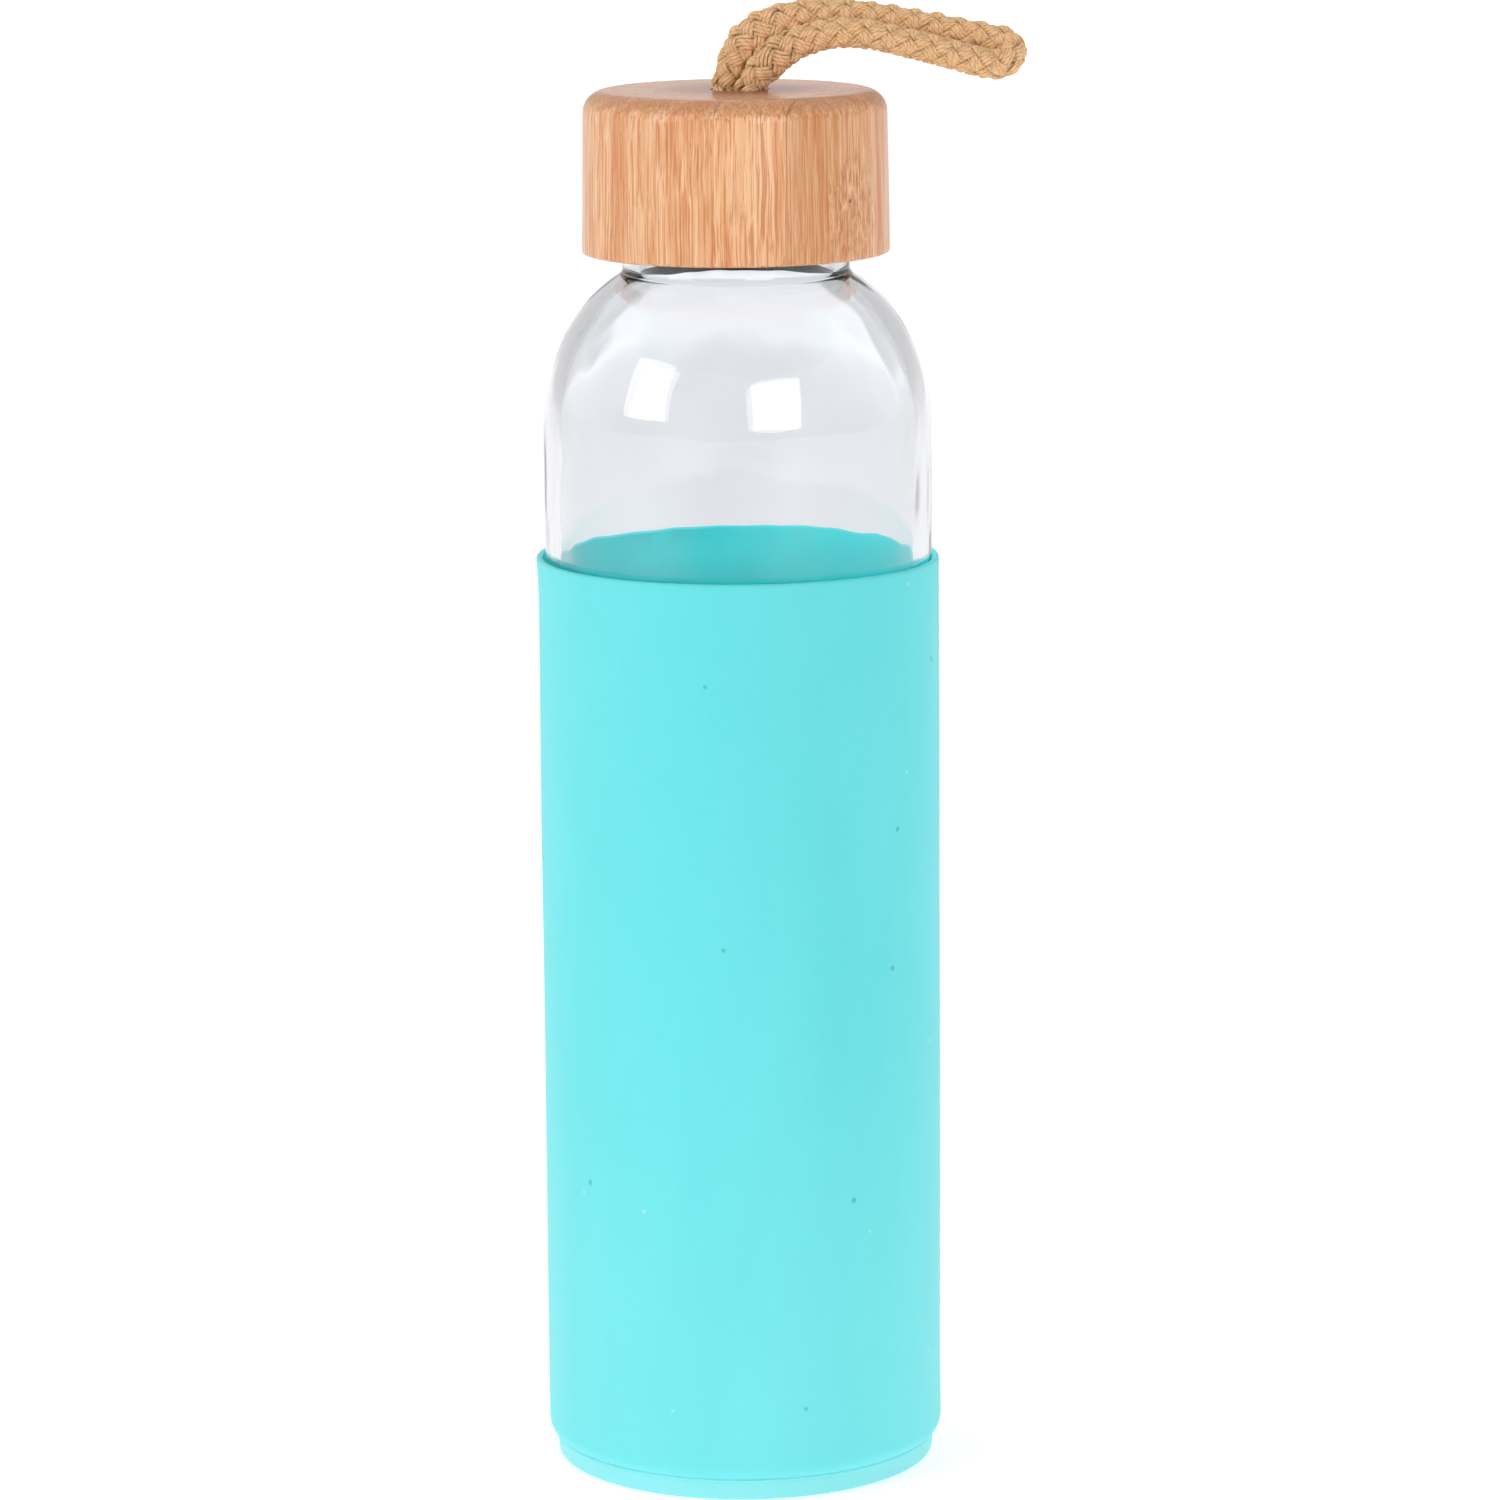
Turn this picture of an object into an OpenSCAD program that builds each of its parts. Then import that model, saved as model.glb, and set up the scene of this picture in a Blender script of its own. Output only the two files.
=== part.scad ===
// Glass water bottle in a silicone sleeve, with a screw cap of laminated bamboo and a rope carrying loop.
// Millimetres. +Z is up, and the origin is at the centre of the sleeve's underside.

/* [Silicone sleeve] */
// Outer diameter of the sleeve
sleeve_d = 65; // [60:0.5:70]
// Height of the sleeve's rim above the table
sleeve_h = 150; // [90:1:160]
// Thickness of the sleeve's side wall
sleeve_wall = 1.1; // [1:0.1:2.5]
// Thickness of the sleeve's floor, under the glass
sleeve_floor = 1.5; // [1:0.1:2]
// Height of the set-back foot band
foot_h = 3; // [2.5:0.1:3.5]

/* [Glass bottle] */
// Thickness of the glass wall
glass_wall = 2.6; // [2:0.1:3.2]
// Thickness of the glass floor
glass_floor = 5; // [4:0.5:8]
// Height above the table where the shoulder starts to curve in
shoulder_z = 170; // [165:1:172]
// Rise from there to the foot of the neck
shoulder_h = 25.2; // [22:0.2:25.4]
// Outer diameter of the neck
neck_d = 36.6; // [36:0.2:38]
// Height of the mouth above the table
mouth_z = 209; // [208.5:0.5:209.5]

/* [Screw thread] */
// Rise of the thread in one turn
thread_lead = 4; // [3.6:0.2:4.4]
// Height of the ridges
thread_h = 1.3; // [1:0.1:1.4]

/* [Bamboo cap] */
// Diameter of the cap at its lower edge
cap_d = 49.5; // [48.6:0.1:51]
// Narrowing of the diameter from the lower edge to the top
cap_taper = 0.7; // [0:0.1:1.2]
// Height of the cap
cap_h = 26; // [25:0.5:28]
// Radius of the cap's rounded top edge
cap_edge_r = 3.6; // [2:0.1:4]
// Width of one bamboo slat
slat_w = 9.5; // [9:0.1:10.5]
// Angle between the glue lines and the Y axis
slat_angle = 28; // [0:1:45]

/* [Rope] */
// Diameter of the rope
rope_d = 4.8; // [4.4:0.1:5]

/* [Hidden] */
$fn = 96;

// Sleeve: the bore grips the glass with a sliding fit
sleeve_r = sleeve_d / 2;
sleeve_bore_r = sleeve_r - sleeve_wall;
slide_fit = 0.1;
foot_set_back = 1.3;
foot_draft = 0.2;
foot_bead_r = 0.3;
skirt_round_h = 2.6;
sleeve_heel_r = 5;
rim_round_r = 0.4;

// Glass
glass_r = sleeve_bore_r - slide_fit;
glass_bore_r = glass_r - glass_wall;
glass_heel_r = sleeve_heel_r + 0.5;
glass_inner_heel_r = 8;
punt_r = 20;
punt_h = 1;
punt_steps = 6;
neck_r = neck_d / 2;
neck_wall = 2.5;
neck_z = shoulder_z + shoulder_h;
neck_fillet_r = 1.5;
// Radius of the edge where the bore opens into the shoulder
bore_fillet_r = 1;
lip_r = 0.8;
// Angle below the horizontal at which the shoulder leaves the neck's fillet
neck_slope = 32;
// Handles of the shoulder's curves: upwards from the wall, and down the slope from the fillet
outer_handles = [14.7, 6.3];
inner_handles = [13.4, 7.4];

// Cap: the liner's skirt screws over the neck, and its plate presses the seal on the mouth
seal_t = 1.5;
plate_t = 1.5;
seal_top_z = mouth_z + seal_t;
plate_top_z = seal_top_z + plate_t;
cap_r = cap_d / 2;
cap_z = 199;
cap_top_z = cap_z + cap_h;
cap_foot_r = 0.5;
thread_gap = 0.4;
liner_bore_r = neck_r + thread_h + thread_gap;
liner_wall = 1.6;
liner_r = liner_bore_r + liner_wall;
liner_z = cap_z + 1;
glue_gap = 0.1;
cap_bore_r = liner_r + glue_gap;
boss_r = 14.6;
boss_wall = 1.2;
boss_drop = 2.5;
cap_roof = 4.5;
chamber_r = 10;
// The hole is a little off the cap's axis, towards +X
rope_hole_x = 0.8;
rope_hole_r = 4.65;
slat_shift = -1.1;

// Thread: both ridges lie on one right-hand helix, the liner's just under the neck's
ridge_root = 1;
ridge_crest = 0.4;
ridge_sink = 0.35;
ridge_step = 10;
ridge_fade = 50;
neck_ridge_drop = 7.2;
neck_ridge_z = mouth_z - neck_ridge_drop;
neck_ridge_end = 450;
liner_ridge_drop = 1.6;
liner_ridge_start = 80;
liner_ridge_end = 440;

// Rope: the route of its centre above the cap's top, up out of the hole, round the fold and back
rope_r = rope_d / 2;
rope_sides = 10;
rope_steps = 2;
bend_points = 3;
// Radius of the rope where the hole squeezes it
tail_r = 2.15;
fold_normal = [0, -0.75, 0.66];
ROPE_ROUTE = [
    [-0.95, 1.3, 0], [-0.95, 1.4, 2.2], [-0.45, 1.6, 4.6], [0.5, 1.8, 7], [2.4, 2, 9.1],
    [6, 2.1, 10.9], [11, 2.1, 11.8], [17.5, 2.1, 11.8], [24, 2.1, 10.9], [30.5, 1.9, 9.7],
    [36.5, 1.8, 8.5], [41, 1.7, 7.6], [43.5, 1.3, 6.9], [44.4, 0, 5.6], [43.5, -1.3, 4.3],
    [41, -1.7, 3.7], [35, -1.8, 5.2], [28, -1.9, 7.1], [21, -2.1, 8.7], [15, -2.1, 8.6],
    [10.6, -2.1, 7.2], [7.4, -2, 5.2], [5.2, -1.8, 3.6], [3.4, -1.5, 1.8], [2.55, -1.3, 0]
];
knot_r = 7.5;
knot_h = 7;
knot_round_r = 3;
knot_z = plate_top_z + 0.2;

// ---------------------------------------------------------------- shared shapes

function arc(centre, r, from, to, steps) =
    [for (i = [0 : steps]) let (a = from + (to - from) * i / steps) centre + r * [cos(a), sin(a)]];

function bezier(p, steps) =
    [for (i = [0 : steps]) let (t = i / steps, u = 1 - t)
        u * u * u * p[0] + 3 * u * u * t * p[1] + 3 * u * t * t * p[2] + t * t * t * p[3]];

function reversed(list) = [for (i = [len(list) - 1 : -1 : 0]) list[i]];

// Two triangles for each side of each stretch between rings of n points, and a flat face at both ends
function tube_faces(rings, n) = concat(
    [for (i = [0 : rings - 2], j = [0 : n - 1])
        let (here = i * n, above = here + n, next = (j + 1) % n)
        each [[here + j, here + next, above + j], [here + next, above + next, above + j]]],
    [[for (j = [n - 1 : -1 : 0]) j]],
    [[for (j = [0 : n - 1]) (rings - 1) * n + j]]
);

// A ridge along a right-hand helix that rises out of the wall and fades back into it at both ends.
// z is its height at angle 0, wall_r the wall's radius, and crest_r may be outside or inside the wall.
module helix_ridge(wall_r, crest_r, z, from, to) {
    out = crest_r > wall_r ? 1 : -1;
    root_r = wall_r - out * ridge_sink;
    rings = [for (a = [from : ridge_step : to])
        let (
            fade = min(1, (a - from) / ridge_fade, (to - a) / ridge_fade),
            tip_r = wall_r - out * ridge_sink / 2 + (crest_r - wall_r + out * ridge_sink / 2) * fade,
            h = z + thread_lead * a / 360,
            section = [
                [root_r, h - ridge_root], [tip_r, h - ridge_crest],
                [tip_r, h + ridge_crest], [root_r, h + ridge_root]
            ]
        )
        [for (p = out > 0 ? section : reversed(section)) [p[0] * cos(a), p[0] * sin(a), p[1]]]];
    polyhedron([for (ring = rings) each ring], tube_faces(len(rings), 4));
}

// ---------------------------------------------------------------- sleeve and bottle

module silicone_sleeve() {
    foot_r = sleeve_r - foot_set_back;
    bead_z = foot_h + foot_bead_r;
    wall_z = bead_z + skirt_round_h;
    color([0.42, 0.9, 0.91]) rotate_extrude() polygon(concat(
        [[0, 0], [foot_r - foot_draft, 0]],
        [[foot_r, foot_h]],
        [for (a = [-60 : 30 : 60]) [foot_r + foot_bead_r * cos(a), bead_z + foot_bead_r * sin(a)]],
        [for (a = [20 : 14 : 90])
            [foot_r + foot_set_back * sin(a), wall_z - (skirt_round_h - foot_bead_r) * cos(a)]],
        arc([sleeve_r - rim_round_r, sleeve_h - rim_round_r], rim_round_r, 0, 90, 4),
        arc([sleeve_bore_r + rim_round_r, sleeve_h - rim_round_r], rim_round_r, 90, 180, 4),
        arc([sleeve_bore_r - sleeve_heel_r, sleeve_floor + sleeve_heel_r], sleeve_heel_r, 0, -90, 8),
        [[0, sleeve_floor]]
    ));
}

// From the wall, straight up, to the end of a fillet that is centred at c and slopes by neck_slope there
function shoulder_curve(wall_r, c, fillet_r, handles) =
    let (
        end = c + fillet_r * [cos(270 - neck_slope), sin(270 - neck_slope)],
        down_slope = [cos(neck_slope), -sin(neck_slope)]
    )
    [[wall_r, shoulder_z], [wall_r, shoulder_z + handles[0]], end + handles[1] * down_slope, end];

module glass_bottle() {
    base_z = sleeve_floor;
    floor_z = base_z + glass_floor;
    inner_heel_c = [glass_bore_r - glass_inner_heel_r, floor_z + glass_inner_heel_r];
    fillet_c = [neck_r + neck_fillet_r, neck_z + neck_fillet_r];
    // The slope inside lies one wall below the slope outside, and the bore meets it at corner_z
    bore_r = neck_r - neck_wall;
    slope_end = fillet_c + (neck_fillet_r + neck_wall) * [cos(270 - neck_slope), sin(270 - neck_slope)];
    corner_z = slope_end[1] + (slope_end[0] - bore_r) * tan(neck_slope);
    bore_fillet_c = [bore_r + bore_fillet_r, corner_z + bore_fillet_r * tan(45 - neck_slope / 2)];
    outer_shoulder = shoulder_curve(glass_r, fillet_c, neck_fillet_r, outer_handles);
    inner_shoulder = shoulder_curve(glass_bore_r, bore_fillet_c, bore_fillet_r, inner_handles);
    color([0.86, 0.92, 0.92, 0.4]) union() {
        rotate_extrude() polygon(concat(
            [for (i = [0 : punt_steps]) let (t = i / punt_steps) [punt_r * t, base_z + punt_h * (1 - t * t)]],
            arc([glass_r - glass_heel_r, base_z + glass_heel_r], glass_heel_r, -90, 0, 8),
            bezier(outer_shoulder, 18),
            arc(fillet_c, neck_fillet_r, 255 - neck_slope, 180, 4),
            arc([neck_r - lip_r, mouth_z - lip_r], lip_r, 0, 90, 4),
            arc([bore_r + lip_r, mouth_z - lip_r], lip_r, 90, 180, 4),
            arc(bore_fillet_c, bore_fillet_r, 180, 255 - neck_slope, 3),
            reversed(bezier(inner_shoulder, 18)),
            arc(inner_heel_c, glass_inner_heel_r, 0, -90, 8),
            [[0, floor_z]]
        ));
        helix_ridge(neck_r, neck_r + thread_h, neck_ridge_z, 0, neck_ridge_end);
    }
}

// ---------------------------------------------------------------- cap

// The whole turned cap with its hole for the rope, before it is cut along its glue lines
module bamboo_shell() {
    top_r = cap_r - cap_taper / 2;
    roof_z = cap_top_z - cap_roof;
    difference() {
        rotate_extrude() polygon(concat(
            [[cap_bore_r, cap_z]],
            arc([cap_r - cap_foot_r, cap_z + cap_foot_r], cap_foot_r, -90, 0, 4),
            arc([top_r - cap_edge_r, cap_top_z - cap_edge_r], cap_edge_r, 0, 90, 8),
            [[0, cap_top_z], [0, roof_z], [chamber_r, roof_z]],
            [[chamber_r, plate_top_z], [cap_bore_r, plate_top_z]]
        ));
        translate([rope_hole_x, 0, roof_z - 1]) cylinder(r = rope_hole_r, h = cap_roof + 2);
    }
}

// Slat 1 is on the left and slat 6 on the right
module bamboo_slat(number) {
    low = number == 1 ? -cap_d : slat_shift + (number - 4) * slat_w;
    high = number == 6 ? cap_d : slat_shift + (number - 3) * slat_w;
    tone = number % 2;
    color([0.87 + 0.03 * tone, 0.66 + 0.05 * tone, 0.46 + 0.06 * tone]) intersection() {
        bamboo_shell();
        rotate([0, 0, -slat_angle])
            translate([low, -cap_d, cap_z - 1]) cube([high - low, 2 * cap_d, cap_h + 2]);
    }
}

module cap_liner() {
    color([0.93, 0.93, 0.9]) union() {
        rotate_extrude() polygon([
            [0, plate_top_z], [liner_r, plate_top_z], [liner_r, liner_z], [liner_bore_r, liner_z],
            [liner_bore_r, seal_top_z], [boss_r, seal_top_z], [boss_r, seal_top_z - boss_drop],
            [boss_r - boss_wall, seal_top_z - boss_drop], [boss_r - boss_wall, seal_top_z], [0, seal_top_z]
        ]);
        helix_ridge(
            liner_bore_r, liner_bore_r - thread_h, neck_ridge_z - liner_ridge_drop,
            liner_ridge_start, liner_ridge_end
        );
    }
}

module seal_ring() {
    seal_clear = 0.3;
    color([0.96, 0.96, 0.95]) rotate_extrude()
        translate([boss_r + seal_clear, mouth_z]) square([liner_bore_r - boss_r - 2 * seal_clear, seal_t]);
}

// ---------------------------------------------------------------- rope

function spline(p0, p1, p2, p3, t) = 0.5 * (
    2 * p1 + (p2 - p0) * t + (2 * p0 - 5 * p1 + 4 * p2 - p3) * t * t + (3 * p1 - p0 - 3 * p2 + p3) * t * t * t
);

// The smooth curve through the route's points, rope_steps points to each gap between them
function smooth(route) = let (last = len(route) - 1) concat(
    [for (i = [0 : last - 1], s = [0 : rope_steps - 1])
        spline(route[max(i - 1, 0)], route[i], route[i + 1], route[min(i + 2, last)], s / rope_steps)],
    [route[last]]
);

function unit(v) = v / norm(v);

rope_path = smooth(ROPE_ROUTE);
path_end = len(rope_path) - 1;
bend_end = (bend_points - 1) * rope_steps;

// One stretch of the rope. Two stretches that meet share the ring there, and the path's own ends are level.
module rope_tube(from, to) {
    points = [for (i = [from : to])
        let (
            way = rope_path[min(i + 1, path_end)] - rope_path[max(i - 1, 0)],
            along = (i == 0 || i == path_end) ? [0, 0, sign(way[2])] : unit(way),
            side = unit(cross(fold_normal, along)),
            up = cross(along, side),
            squeeze = max(0, 1 - min(i, path_end - i) / bend_end),
            r = rope_r - (rope_r - tail_r) * squeeze
        )
        each [for (j = [0 : rope_sides - 1])
            let (a = 360 * j / rope_sides) rope_path[i] + r * (cos(a) * side + sin(a) * up)]];
    translate([0, 0, cap_top_z]) polyhedron(points, tube_faces(to - from + 1, rope_sides));
}

module rope_loop() {
    color([0.8, 0.64, 0.4]) rope_tube(bend_end, path_end - bend_end);
}

// The two short stretches of rope that bend when the loop is tipped
module rope_bend() {
    color([0.76, 0.6, 0.37]) {
        rope_tube(0, bend_end);
        rope_tube(path_end - bend_end, path_end);
    }
}

// The two stretches in the cap's hole
module rope_tails() {
    tail_z = knot_z + knot_h;
    color([0.74, 0.58, 0.36]) for (end = [ROPE_ROUTE[0], ROPE_ROUTE[len(ROPE_ROUTE) - 1]])
        translate([end[0], end[1], tail_z]) cylinder(r = tail_r, h = cap_top_z - tail_z, $fn = 48);
}

// Both ends tied together in the chamber under the cap's roof
module rope_knot() {
    c_r = knot_r - knot_round_r;
    color([0.72, 0.56, 0.34]) translate([rope_hole_x, 0, 0]) rotate_extrude() polygon(concat(
        [[0, knot_z]],
        arc([c_r, knot_z + knot_round_r], knot_round_r, -90, 0, 6),
        arc([c_r, knot_z + knot_h - knot_round_r], knot_round_r, 0, 90, 6),
        [[0, knot_z + knot_h]]
    ));
}

glass_bottle();
silicone_sleeve();
bamboo_slat(1);  // bamboo_slat_1
bamboo_slat(2);  // bamboo_slat_2
bamboo_slat(3);  // bamboo_slat_3
bamboo_slat(4);  // bamboo_slat_4
bamboo_slat(5);  // bamboo_slat_5
bamboo_slat(6);  // bamboo_slat_6
cap_liner();
seal_ring();
rope_loop();
rope_bend();
rope_tails();
rope_knot();
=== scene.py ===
import math
import random

import bmesh
import bpy
import numpy as np
from mathutils import Matrix, Vector, noise


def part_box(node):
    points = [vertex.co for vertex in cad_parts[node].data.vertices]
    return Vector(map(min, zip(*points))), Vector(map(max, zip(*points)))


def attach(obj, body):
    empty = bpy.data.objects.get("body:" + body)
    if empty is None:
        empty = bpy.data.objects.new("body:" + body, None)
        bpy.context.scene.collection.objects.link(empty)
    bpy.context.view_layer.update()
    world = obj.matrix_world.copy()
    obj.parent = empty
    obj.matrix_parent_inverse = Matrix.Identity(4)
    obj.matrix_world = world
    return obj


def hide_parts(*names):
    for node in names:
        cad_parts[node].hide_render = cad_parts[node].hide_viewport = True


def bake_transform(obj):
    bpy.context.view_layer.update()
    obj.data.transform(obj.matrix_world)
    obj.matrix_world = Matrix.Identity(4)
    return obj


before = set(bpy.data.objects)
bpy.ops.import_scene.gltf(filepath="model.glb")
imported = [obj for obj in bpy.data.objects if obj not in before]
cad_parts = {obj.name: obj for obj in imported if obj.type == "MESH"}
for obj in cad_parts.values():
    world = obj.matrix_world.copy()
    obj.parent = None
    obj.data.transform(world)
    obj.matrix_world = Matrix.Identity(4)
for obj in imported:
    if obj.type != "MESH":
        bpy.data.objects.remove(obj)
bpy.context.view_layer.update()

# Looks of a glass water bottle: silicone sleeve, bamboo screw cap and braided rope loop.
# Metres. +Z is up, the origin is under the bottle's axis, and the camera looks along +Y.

MM = 0.001

# ---------------------------------------------------------------- sizes, from the frame where it has them

SLEEVE_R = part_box("silicone_sleeve")[1].x
SLEEVE_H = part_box("silicone_sleeve")[1].z
SLEEVE_WALL = 1.1 * MM
SLEEVE_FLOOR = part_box("glass_bottle")[0].z
GLASS_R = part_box("glass_bottle")[1].x
MOUTH_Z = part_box("glass_bottle")[1].z
GLASS_BORE_R = GLASS_R - 2.6 * MM
GLASS_FLOOR = 5 * MM
SHOULDER_Z = 170 * MM
SHOULDER_SLOPE = math.radians(32)
NECK_Z = 195.2 * MM
NECK_R = 18.3 * MM
NECK_WALL = 2.5 * MM
THREAD_LEAD = 4 * MM
THREAD_H = 1.3 * MM
SEAL_TOP_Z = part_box("seal_ring")[1].z
CAP_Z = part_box("bamboo_slat_4")[0].z
CAP_TOP_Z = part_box("bamboo_slat_4")[1].z
CAP_R = 24.75 * MM
CAP_TOP_R = 24.4 * MM
CAP_EDGE_R = 3.6 * MM
LINER_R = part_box("cap_liner")[1].x
LINER_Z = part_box("cap_liner")[0].z
LINER_TOP_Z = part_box("cap_liner")[1].z
LINER_BORE_R = 20 * MM
ROPE_HOLE_X = 0.8 * MM
ROPE_HOLE_R = 4.65 * MM
CHAMBER_R = 10 * MM
CAP_ROOF = 4.5 * MM
SLAT_W = 9.5 * MM
SLAT_SHIFT = -1.1 * MM
SLAT_ANGLE = math.radians(28)
ROPE_D = 4.8 * MM
ROPE_TAIL_D = 4.3 * MM
ROPE_FULLNESS = 1.05

# The route of the rope's centre, millimetres above the cap's top: up out of the hole, round the fold and back
ROPE_ROUTE = [
    (-0.95, 1.3, 0), (-0.95, 1.4, 2.2), (-0.45, 1.6, 4.6), (0.5, 1.8, 7), (2.4, 2, 9.1),
    (6, 2.1, 10.9), (11, 2.1, 11.8), (17.5, 2.1, 11.8), (24, 2.1, 10.9), (30.5, 1.9, 9.7),
    (36.5, 1.8, 8.5), (41, 1.7, 7.6), (43.5, 1.3, 6.9), (44.4, 0, 5.6), (43.5, -1.3, 4.3),
    (41, -1.7, 3.7), (35, -1.8, 5.2), (28, -1.9, 7.1), (21, -2.1, 8.7), (15, -2.1, 8.6),
    (10.6, -2.1, 7.2), (7.4, -2, 5.2), (5.2, -1.8, 3.6), (3.4, -1.5, 1.8), (2.55, -1.3, 0),
]


# ---------------------------------------------------------------- camera and lights

def add_camera():
    """The photo's view: from 0.98 m in front and 0.30 m up, with a long lens, the bottle a little left."""
    data = bpy.data.cameras.new("camera")
    data.lens = 146.3
    data.sensor_width = 36
    data.clip_end = 40
    camera = bpy.data.objects.new("camera", data)
    camera.location = (1.6 * MM, -976 * MM, 303.7 * MM)
    pitch, roll = math.radians(10.8), math.radians(0.45)
    turn = Matrix.Rotation(math.pi / 2 - pitch, 3, "X") @ Matrix.Rotation(-roll, 3, "Z")
    camera.rotation_euler = turn.to_euler()
    bpy.context.scene.collection.objects.link(camera)
    bpy.context.scene.camera = camera


def add_softbox(name, azimuth, elevation, away, width, height, glow):
    """A soft rectangular light that faces the shoulder. Azimuth 0 is the camera's side, positive is right.

    width and height are its angular size, in degrees, and glow is the radiance of its face.
    """
    around, above = math.radians(azimuth), math.radians(elevation)
    way = Vector((math.sin(around) * math.cos(above), -math.cos(around) * math.cos(above), math.sin(above)))
    data = bpy.data.lights.new(name, "AREA")
    data.shape = "RECTANGLE"
    data.size, data.size_y = (2 * away * math.tan(math.radians(a / 2)) for a in (width, height))
    data.energy = glow * math.pi * data.size * data.size_y
    light = bpy.data.objects.new(name, data)
    light.visible_camera = False
    light.location = Vector((0, 0, SHOULDER_Z)) + away * way
    light.rotation_euler = way.to_track_quat("Z", "Y").to_euler()
    bpy.context.scene.collection.objects.link(light)


def add_world(front, back):
    """A studio that is bright behind the bottle and dimmer in front of it, as front and back say."""
    world = bpy.data.worlds.new("studio")
    world.use_nodes = True
    nodes, links = world.node_tree.nodes, world.node_tree.links
    background = nodes["Background"]
    background.inputs["Color"].default_value = (0.98, 0.98, 1, 1)
    way = nodes.new("ShaderNodeTexCoord")
    split = nodes.new("ShaderNodeSeparateXYZ")
    fade = nodes.new("ShaderNodeMapRange")
    fade.interpolation_type = "SMOOTHSTEP"
    for key, value in {"From Min": -0.45, "From Max": 0.4, "To Min": front, "To Max": back}.items():
        fade.inputs[key].default_value = value
    links.new(way.outputs["Generated"], split.inputs[0])
    links.new(split.outputs["Y"], fade.inputs["Value"])
    links.new(fade.outputs[0], background.inputs["Strength"])
    bpy.context.scene.world = world


# ---------------------------------------------------------------- materials

BAMBOO_PALE = (0.86, 0.5, 0.265)
BAMBOO_WARM = (0.73, 0.325, 0.12)
BAMBOO_STREAK = (0.61, 0.205, 0.06)
BAMBOO_BUNDLE = (0.52, 0.165, 0.045)
BAMBOO_SILVER = (0.97, 0.68, 0.42)


class Paint:
    """A node material, with short calls for the nodes that the materials below are made of."""

    def __init__(self, name):
        self.material = bpy.data.materials.new(name)
        self.material.use_nodes = True
        self.tree = self.material.node_tree
        self.shader = self.tree.nodes["Principled BSDF"]
        place = self.node("ShaderNodeTexCoord")
        self.normal = place.outputs["Normal"]
        # Millimetres from the row's origin: every piece's object sits there
        self.mm = self.scaled(place.outputs["Object"], (1000, 1000, 1000))

    def node(self, kind, inputs=None, **settings):
        made = self.tree.nodes.new(kind)
        for key, value in settings.items():
            setattr(made, key, value)
        for key, value in (inputs or {}).items():
            self.put(value, made.inputs[key])
        return made

    def put(self, value, socket):
        if isinstance(value, bpy.types.NodeSocket):
            self.tree.links.new(value, socket)
        else:
            socket.default_value = value

    def math(self, operation, *values, clamp=False):
        made = self.node("ShaderNodeMath", operation=operation, use_clamp=clamp)
        for value, socket in zip(values, made.inputs):
            self.put(value, socket)
        return made.outputs[0]

    def vector(self, operation, *values):
        made = self.node("ShaderNodeVectorMath", operation=operation)
        for value, socket in zip(values, made.inputs):
            self.put(value, socket)
        return made.outputs["Value" if operation in ("LENGTH", "DISTANCE", "DOT_PRODUCT") else "Vector"]

    def scaled(self, vector, scale):
        return self.vector("MULTIPLY", vector, scale)

    def parts(self, vector):
        return self.node("ShaderNodeSeparateXYZ", {"Vector": vector}).outputs

    def joined(self, x, y, z):
        return self.node("ShaderNodeCombineXYZ", {"X": x, "Y": y, "Z": z}).outputs[0]

    def noise(self, vector, scale=1.0, detail=2.0, rough=0.5, output="Fac"):
        inputs = {"Vector": vector, "Scale": scale, "Detail": detail, "Roughness": rough}
        return self.node("ShaderNodeTexNoise", inputs).outputs[output]

    def cells(self, vector, scale=1.0, output="Distance"):
        return self.node("ShaderNodeTexVoronoi", {"Vector": vector, "Scale": scale}).outputs[output]

    def step(self, value, low, high, to_low=0.0, to_high=1.0):
        """A smooth step from to_low at low to to_high at high. low may be above high."""
        if low > high:
            low, high, to_low, to_high = high, low, to_high, to_low
        inputs = {"Value": value, "From Min": low, "From Max": high, "To Min": to_low, "To Max": to_high}
        return self.node("ShaderNodeMapRange", inputs, interpolation_type="SMOOTHSTEP").outputs[0]

    def mix(self, factor, a, b, blend="MIX"):
        made = self.node("ShaderNodeMix", data_type="RGBA", blend_type=blend)
        for socket, value in zip((0, 6, 7), (factor, a, b)):
            value = (*value, 1) if isinstance(value, tuple) else value
            self.put(value, made.inputs[socket])
        return made.outputs[2]

    def bump(self, height, distance, strength=1.0, normal=None):
        made = self.node("ShaderNodeBump", {"Height": height, "Distance": distance, "Strength": strength})
        if normal is not None:
            self.put(normal, made.inputs["Normal"])
        return made.outputs[0]

    def lets_lamps_through(self, tint):
        """Light reaches what is inside, and casts only a faint shadow, as through real glass."""
        path = self.node("ShaderNodeLightPath")
        clear = self.node("ShaderNodeBsdfTransparent", {"Color": (*tint, 1)})
        both = self.node("ShaderNodeMixShader", {"Fac": path.outputs["Is Shadow Ray"]})
        self.tree.links.new(self.shader.outputs[0], both.inputs[1])
        self.tree.links.new(clear.outputs[0], both.inputs[2])
        self.tree.links.new(both.outputs[0], self.tree.nodes["Material Output"].inputs["Surface"])
        return self.material

    def finish(self, **values):
        """Sets the shader's sockets: base_color is the socket Base Color, and so on."""
        names = {s.name.lower().replace(" ", "_"): s for s in self.shader.inputs}
        for key, value in values.items():
            if isinstance(value, tuple) and len(value) == 3 and key.endswith("color"):
                value = (*value, 1)
            self.put(value, names[key])
        return self.material


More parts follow.
